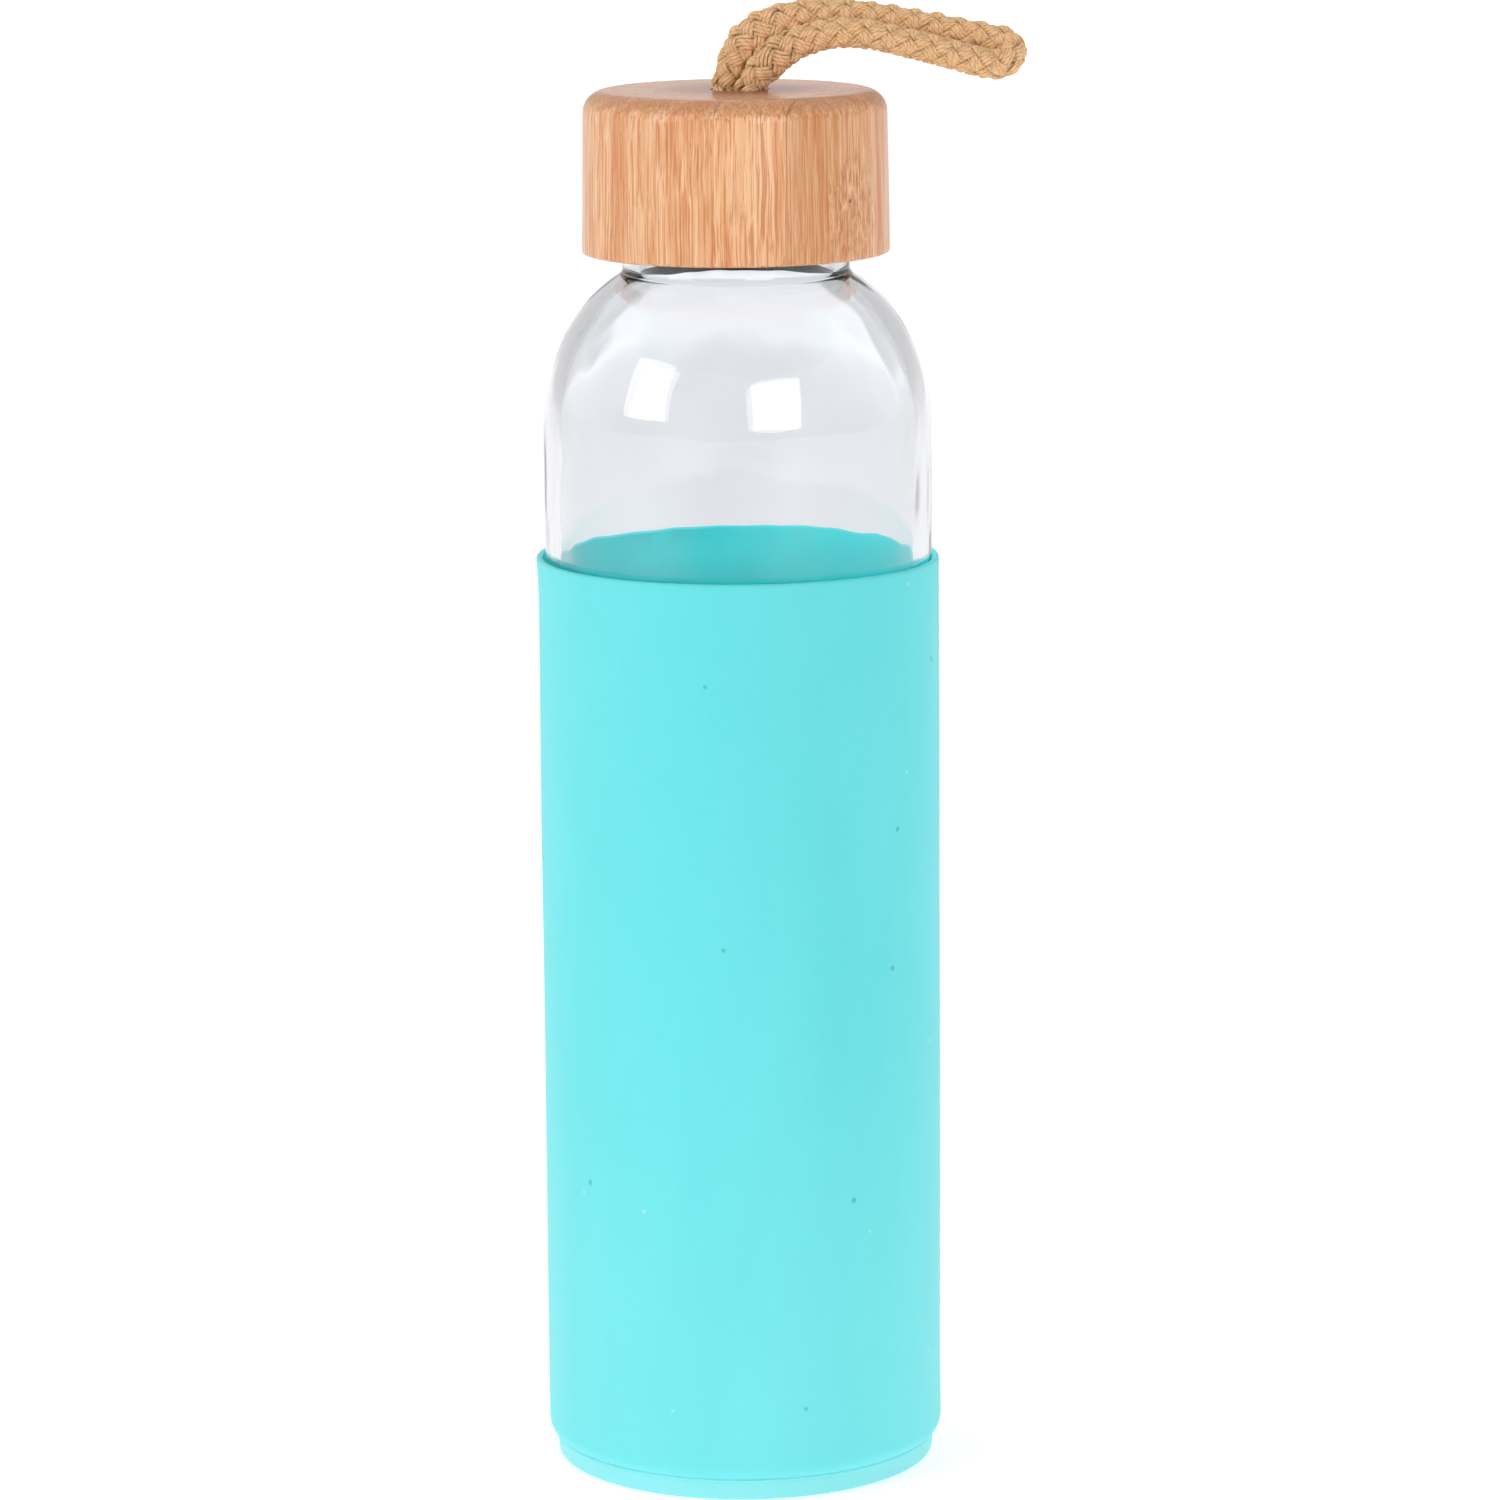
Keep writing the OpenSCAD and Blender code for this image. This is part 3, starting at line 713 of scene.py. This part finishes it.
def build_liner(material):
    """The screw liner inside the cap: plate, skirt with its ridge, and the boss that centres the seal."""
    boss_r, boss_wall, boss_drop, edge = 14.6 * MM, 1.2 * MM, 2.5 * MM, 0.3 * MM
    inner_r, drop_z = boss_r - boss_wall, SEAL_TOP_Z - boss_drop
    profile = [(0, SEAL_TOP_Z), (0.5 * boss_r, SEAL_TOP_Z), (inner_r, SEAL_TOP_Z)]
    profile += [(inner_r, drop_z + edge), (inner_r + edge, drop_z)]
    profile += [(boss_r - edge, drop_z), (boss_r, drop_z + edge), (boss_r, SEAL_TOP_Z)]
    profile += [(LINER_BORE_R, SEAL_TOP_Z)]
    bore_from = len(profile)
    profile += straight(profile[-1], (LINER_BORE_R, LINER_Z + edge), 44) + [(LINER_BORE_R, LINER_Z + edge)]
    bore_to = len(profile)
    profile += [(LINER_BORE_R + edge, LINER_Z), (LINER_R - edge, LINER_Z), (LINER_R, LINER_Z + edge)]
    profile += [(LINER_R, LINER_TOP_Z - edge), (LINER_R - edge, LINER_TOP_Z), (0, LINER_TOP_Z)]

    def shape(angle, r, z, row):
        inside = bore_from <= row < bore_to
        return r - (THREAD_H * ridge(angle, z, MOUTH_Z - 8.8 * MM, 80, 440) if inside else 0), z

    made = piece("screw_liner", *revolve(profile, 192, shape), material)
    return finish_piece(made, "cap", "white_plastic", "cap_liner")


def build_seal(material):
    """The flat ring that the liner presses on the mouth, with rounded corners."""
    low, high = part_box("seal_ring")
    inner_r, outer_r, round_r = 14.9 * MM, high.x, 0.35 * MM
    profile = []
    for centre, start in (
        ((outer_r - round_r, low.z + round_r), -90), ((outer_r - round_r, high.z - round_r), 0),
        ((inner_r + round_r, high.z - round_r), 90), ((inner_r + round_r, low.z + round_r), 180),
    ):
        profile += arc(centre, round_r, start, start + 90, 4)
    made = piece("mouth_seal", *revolve(profile, 160), material)
    return finish_piece(made, "seal", "white_silicone", "seal_ring")


# ---------------------------------------------------------------- rope

def smooth_line(points, step):
    """Points a step apart on the smooth curve through these ones."""
    p = np.array(points, float)
    fine = []
    for i in range(len(p) - 1):
        a, b, c, d = p[max(i - 1, 0)], p[i], p[i + 1], p[min(i + 2, len(p) - 1)]
        for t in np.linspace(0, 1, 24, endpoint=False):
            square, cube = 2 * a - 5 * b + 4 * c - d, 3 * b - a - 3 * c + d
            fine.append(0.5 * (2 * b + (c - a) * t + square * t ** 2 + cube * t ** 3))
    fine = np.array(fine + [p[-1]])
    run = np.concatenate([[0], np.cumsum(np.linalg.norm(np.diff(fine, axis=0), axis=1))])
    at = np.linspace(0, run[-1], max(2, round(run[-1] / step)) + 1)
    return np.stack([np.interp(at, run, fine[:, k]) for k in range(3)], axis=1), at


def carried_frames(line, first_side):
    """Two directions across the line at each point, carried along it without twisting."""
    ways = np.gradient(line, axis=0)
    ways /= np.linalg.norm(ways, axis=1)[:, None]
    sides = np.zeros_like(line)
    side = np.array(first_side, float)
    for i, way in enumerate(ways):
        side = side - way * (side @ way)
        side /= np.linalg.norm(side)
        sides[i] = side
    return ways, sides, np.cross(ways, sides)


class YarnMesh:
    """Collects tubes, with a map that runs round each one and along it."""

    def __init__(self):
        self.verts, self.faces, self.uvs, self.heights = [], [], [], []

    def tube(self, centres, across, up, radii, sides, start=0.0, middle=None, reach=None):
        """middle and reach are the rope's own centre and radius at each point: a vertex keeps how high it
        stands between them, for the material's painted shade in the crevices. Without them it counts as
        standing on top.
        """
        rings, first = len(centres), len(self.verts)
        run = np.concatenate([[0], np.cumsum(np.linalg.norm(np.diff(centres, axis=0), axis=1))]) / MM + start
        for i in range(rings):
            for j in range(sides):
                a = 2 * math.pi * j / sides
                out = radii[i] * (math.cos(a) * across[i] + math.sin(a) * up[i])
                self.verts.append(centres[i] + out)
                self.heights.append(1.0 if middle is None else np.linalg.norm(middle[i] + out) / reach[i])
        for i in range(rings - 1):
            for j in range(sides):
                k = (j + 1) % sides
                base, above = first + i * sides, first + (i + 1) * sides
                self.faces.append((base + j, base + k, above + k, above + j))
                left, right = j / sides, (j + 1) / sides
                self.uvs += [(left, run[i]), (right, run[i]), (right, run[i + 1]), (left, run[i + 1])]
        for ring, order in ((0, range(sides - 1, -1, -1)), (rings - 1, range(sides))):
            self.faces.append(tuple(first + ring * sides + j for j in order))
            self.uvs += [(0, run[ring])] * sides

    def build(self, name, material):
        mesh = bpy.data.meshes.new(name)
        mesh.from_pydata([tuple(v) for v in self.verts], [], self.faces)
        layer = mesh.uv_layers.new(name="yarn")
        layer.data.foreach_set("uv", np.array(self.uvs, np.float32).ravel())
        heights = mesh.attributes.new("height", "FLOAT", "POINT")
        heights.data.foreach_set("value", np.array(self.heights, np.float32))
        mesh.polygons.foreach_set("use_smooth", [True] * len(mesh.polygons))
        mesh.materials.append(material)
        made = bpy.data.objects.new(name, mesh)
        bpy.context.scene.collection.objects.link(made)
        return made


def braid(yarns, line, at, first_side, diameter, plies, sides, rng, swell=None, lay=13.6 * MM):
    """Eight strands, four each way, each of them over one and under one, so that they stand in columns of Vs.

    diameter is the whole braid's at each point, plies the yarns side by side in a strand, swell what
    swelling() makes of the line, and lay the length of one turn.
    """
    scale = diameter / ROPE_D
    middle_r, swing = 1.72 * MM * scale, 0.36 * MM * scale
    yarn_r, gap, crown = 0.31 * MM * scale, 0.47 * MM * scale, 0.16 * MM * scale
    ways, across, up = carried_frames(line, first_side)
    turn = 2 * math.pi * at / (lay * scale.max())
    for direction in (1, -1):
        for k in range(4):
            angle = (direction * turn + k * math.pi / 2)[:, None]
            radius = (middle_r + direction * swing * np.cos(4 * turn))[:, None]
            radial = np.cos(angle) * across + np.sin(angle) * up
            centres = line + radius * radial
            runs = np.gradient(centres, axis=0)
            runs /= np.linalg.norm(runs, axis=1)[:, None]
            flat = np.cross(runs, radial)
            flat /= np.linalg.norm(flat, axis=1)[:, None]
            for ply in range(plies):
                place = ply - (plies - 1) / 2
                shift = place * gap
                loose = rng.uniform(-0.05, 0.05) * MM * scale
                lane = 7.3 * ply, 11.1 * k + direction
                rough = np.array([noise.noise(Vector((s / (3 * MM), *lane))) for s in at])
                sag = shift ** 2 / (2 * middle_r) + crown * (2 * place / plies) ** 2
                lift = (0.1 * MM * scale * rough - sag + loose)[:, None]
                own = centres + shift[:, None] * flat + lift * radial
                raised = own - line
                if swell is not None:
                    sideways, share = swell
                    reach = ((own - line) * sideways).sum(axis=1) + diameter / 2
                    own = own + (share * reach)[:, None] * sideways
                radii = yarn_r * (1 + 0.18 * rough)
                start = rng.uniform(0, 50)
                yarns.tube(own, flat, np.cross(flat, runs), radii, sides, start, raised, diameter / 2)


def add_fuzz(yarns, line, count, diameter, rng):
    """Short stray fibres that stand off the rope."""
    ways, across, up = carried_frames(line, (0, 1, 0))
    for _ in range(count):
        i = rng.randrange(4, len(line) - 4)
        a = rng.uniform(0, 2 * math.pi)
        radial = math.cos(a) * across[i] + math.sin(a) * up[i]
        beside = np.cross(ways[i], radial)
        lean = rng.uniform(-1, 1) * ways[i] + rng.uniform(-1, 1) * beside
        root = line[i] + radial * diameter * rng.uniform(0.36, 0.44)
        length, curl = rng.uniform(0.6, 1.9) * MM, rng.uniform(-0.5, 0.3)
        steps = np.linspace(0, 1, 6)[:, None]
        centres = root + length * (steps * (lean * 0.8 + radial * 0.55) + steps ** 2 * curl * radial)
        radii = np.linspace(0.022, 0.008, 6) * MM
        yarns.tube(centres, np.tile(beside, (6, 1)), np.tile(radial, (6, 1)), radii, 3)


def rope_points():
    """The route with its two tails in the cap's hole, in metres."""
    tail_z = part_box("rope_tails")[0].z
    route = [(x * MM, y * MM, CAP_TOP_Z + z * MM) for x, y, z in ROPE_ROUTE]
    first, last = route[0], route[-1]
    return (
        [(first[0], first[1], tail_z), (first[0], first[1], (tail_z + CAP_TOP_Z) / 2)] + route
        + [(last[0], last[1], (tail_z + CAP_TOP_Z) / 2), (last[0], last[1], tail_z)]
    )


def swelling(line, diameter):
    """Where a gap is left between the rope's two legs, each leg swells towards the other and closes it.

    Returns, for each point of the line, the direction to the other leg and how much the leg grows that way.
    """
    touching, gap_for_all, most = 0.95, 1.35, 0.45
    half, beside = len(line) // 2, 8
    sideways, share = np.zeros_like(line), np.zeros(len(line))
    for i, point in enumerate(line):
        ways = (line[half:] if i < half else line[:half]) - point
        lengths = np.linalg.norm(ways, axis=1)
        j = lengths.argmin()
        sideways[i] = ways[j] / max(lengths[j], 1e-9)
        share[i] = min(most, max(0, (lengths[j] - touching * diameter[i]) / (gap_for_all * diameter[i])))
    around = 2 * beside + 1
    share = np.convolve(np.pad(share, beside, mode="edge"), np.full(around, 1 / around), mode="valid")
    return sideways, share


def flattened_in_hole(point):
    """The two legs press each other flat in the hole, and fill it."""
    legs = Vector(ROPE_ROUTE[-1][:2]) - Vector(ROPE_ROUTE[0][:2])
    beside = Vector((-legs.y, legs.x)).normalized()
    x, y, z = map(float, point)
    away = Vector((x - ROPE_HOLE_X, y))
    low = min(1, max(0, (CAP_TOP_Z + 5 * MM - z) / (4 * MM)))
    near = low * min(1, max(0, (10 * MM - away.length) / (4 * MM)))
    grown = away + 0.05 * near * away + 0.5 * near * away.dot(beside) * beside
    return ROPE_HOLE_X + grown.x, grown.y, z


def build_rope(material):
    """The braided loop with its tails."""
    rng = random.Random(5)
    line, at = smooth_line(rope_points(), 0.3 * MM)
    from_end = np.minimum(at, at[-1] - at) - (CAP_TOP_Z - line[0][2])
    diameter = np.interp(from_end, [0, 5 * MM], [ROPE_TAIL_D, ROPE_FULLNESS * ROPE_D])
    yarns = YarnMesh()
    braid(yarns, line, at, (0, 1, 0), diameter, 4, 7, rng, swelling(line, diameter))
    ways, across, up = carried_frames(line, (0, 1, 0))
    core_r = 1.05 * MM
    few = line[::3]
    # The core counts as standing low, so the material paints it with the crevices' painted shade.
    yarns.tube(few, across[::3], up[::3], [core_r] * len(few), 8, 0.0, 0 * few, diameter[::3] / 2)
    yarns.verts = [flattened_in_hole(v) for v in yarns.verts]
    add_fuzz(yarns, line, 1100, ROPE_D, rng)
    made = yarns.build("rope", material)
    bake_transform(made)
    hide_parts("rope_loop", "rope_bend", "rope_tails")
    return made


def build_knot(material):
    """The stopper knot in the chamber under the cap's roof, as a three-lobed knot of the same braid."""
    low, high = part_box("rope_knot")
    middle = (low + high) / 2
    radius, swing, thick = 3.2 * MM, 1.75 * MM, 3.1 * MM
    points = []
    for i in range(61):
        a = 4 * math.pi * i / 61
        r = radius + swing * math.cos(1.5 * a)
        points.append((middle.x + r * math.cos(a), r * math.sin(a), middle.z + 1.75 * MM * math.sin(1.5 * a)))
    line, at = smooth_line(points, 0.35 * MM)
    yarns = YarnMesh()
    braid(yarns, line, at, (0, 0, 1), np.full(len(at), thick), 2, 5, random.Random(9))
    made = yarns.build("stopper_knot", material)
    return finish_piece(made, "knot", "jute_rope", "rope_knot")


# ---------------------------------------------------------------- floor

def build_floor(material):
    """A wide sweep: level under the bottle, and curving up far behind it."""
    half, depth, rise = 9.0, 7.0, 5.0
    rows = [(-half, 0), (0, 0), (depth * 0.6, 0)]
    bends = np.linspace(0.1, math.pi / 2, 12)
    rows += [(depth * 0.6 + rise * math.sin(a), rise - rise * math.cos(a)) for a in bends]
    verts = [(x, y, z - 0.05 * MM) for y, z in rows for x in (-half, 0, half)]
    corners = [3 * i + j for i in range(len(rows) - 1) for j in (0, 1)]
    faces = [(c, c + 1, c + 4, c + 3) for c in corners]
    piece("studio_sweep", verts, faces, material, 60)


# ---------------------------------------------------------------- the scene


add_camera()
jute = jute_material()
build_rope(jute)
build_knot(jute)
build_glass(glass_material())
build_sleeve(silicone_material())
build_cap()
build_liner(moulded_material("white_plastic", (0.84, 0.84, 0.8), 0.38, 0.01 * MM))
build_seal(moulded_material("white_silicone", (0.86, 0.86, 0.84), 0.5, 0.015 * MM))
build_floor(floor_material())

add_world(0.3, 1.0)
add_softbox("softbox_left", -57, 21, 1.2, 27, 31, 3.8)
add_softbox("softbox_front", 23.5, 16.5, 1.3, 28, 26, 4.4)
bpy.context.scene.view_settings.view_transform = "Standard"
